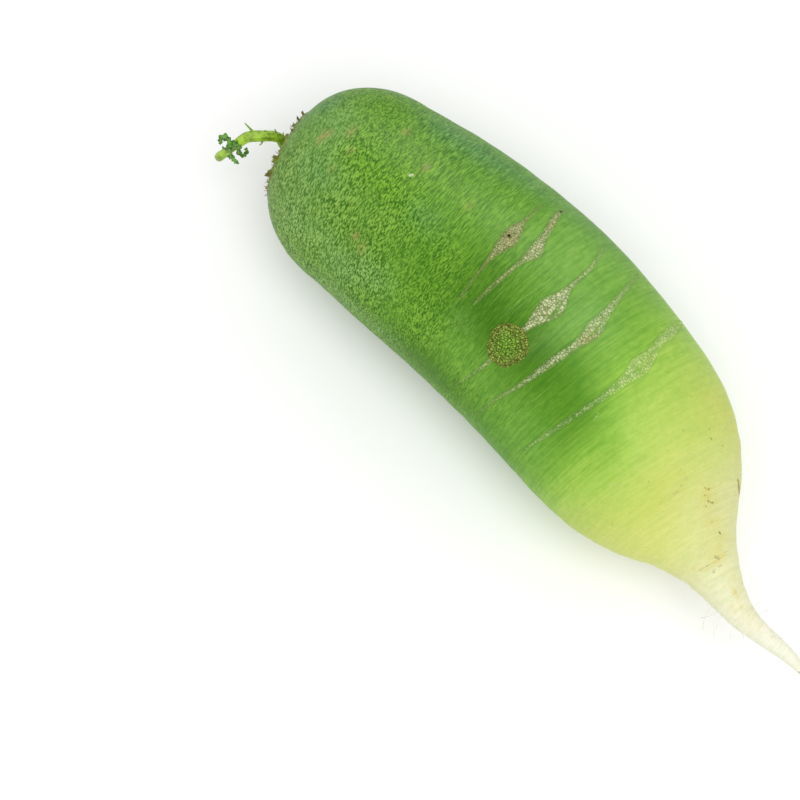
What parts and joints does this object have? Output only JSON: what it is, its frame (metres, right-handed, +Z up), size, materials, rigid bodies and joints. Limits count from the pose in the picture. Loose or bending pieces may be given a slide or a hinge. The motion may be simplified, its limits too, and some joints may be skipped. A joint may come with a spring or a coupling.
{
  "type": "daikon radish",
  "caption": "Green daikon radish lying on its side: round crown with leaf scars and a short young leaf, a slightly bent body with side-root scars, paling to a thin tail.",
  "frame": {"origin": "on the surface the radish lies on, under the middle of its bounding box", "axes": "+X along the root from crown to tail, +Z up, the body bending towards +Y"},
  "size_m": [0.2698, 0.081, 0.0773],
  "materials": {
    "radish_skin": "smooth firm vegetable skin with a low waxy sheen: mid green with fine pale flecks at the crown, yellow-green past the middle, cream at the tail, with grey-tan corky scars",
    "leaf": "soft fresh leaf: yellow-green stalk and darker green curled leaflets"
  },
  "bodies": {
    "root": {"root": "radish_skin", "young_leaf": "leaf"}
  },
  "joints": []
}
